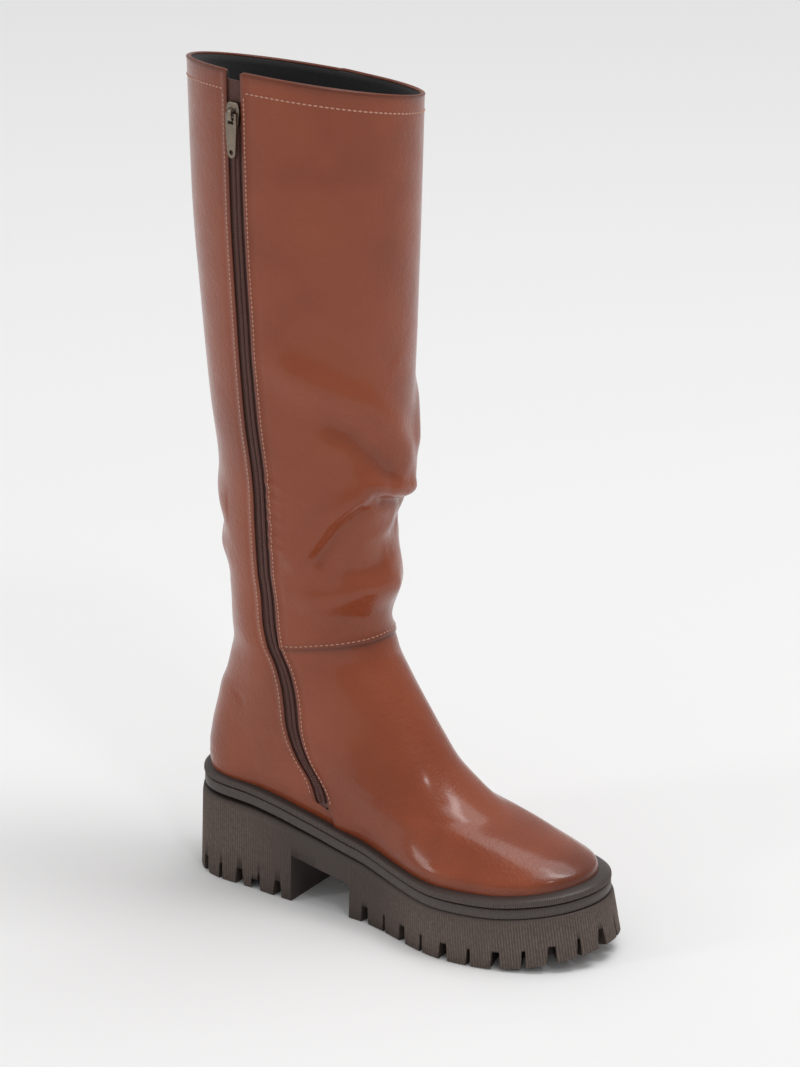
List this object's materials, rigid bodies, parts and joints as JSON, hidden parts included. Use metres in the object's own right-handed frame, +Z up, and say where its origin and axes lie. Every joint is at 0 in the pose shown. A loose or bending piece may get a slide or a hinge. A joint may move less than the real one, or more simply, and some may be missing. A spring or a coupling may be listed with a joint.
{
  "type": "knee-high boot",
  "caption": "Left knee-high pull-up boot with an inner side zip, soft slouching shaft, round toe and a deep lugged sole with a block heel.",
  "frame": {"origin": "on the floor, under the middle of the boot's box", "axes": "+X to the toe, +Y to the outer side of the left leg, +Z up the shaft"},
  "size_m": [0.27, 0.1152, 0.4845],
  "materials": {
    "sole_rubber": "matt, ribbed, rubbed lighter on the ribs",
    "band_rubber": "smooth satin",
    "welt_rubber": "finely ribbed satin",
    "upper_leather": "glossy, fine grain, burnished darker at toe, heel and seams",
    "insole_lining": "matt textile",
    "zip_tape": "woven tape",
    "zip_teeth": "satin coil",
    "zip_metal": "darkened antique metal",
    "plate_metal": "darkened antique metal"
  },
  "bodies": {
    "boot": {"outsole": "sole_rubber", "midsole": "band_rubber", "welt": "welt_rubber", "upper": "upper_leather", "insole": "insole_lining", "zip_tape": "zip_tape", "zip_teeth": "zip_teeth", "zip_slider": "zip_metal", "side_plate": "plate_metal"},
    "zip_pull": {"zip_pull": "zip_metal"}
  },
  "joints": [
    {"name": "pull_hinge", "type": "hinge", "parent": "boot", "child": "zip_pull", "pos_m": [-0.076, -0.05519, 0.4619], "axis": [-0.9936, 0.1131, -0.0001], "range_deg": [0, 150]}
  ]
}
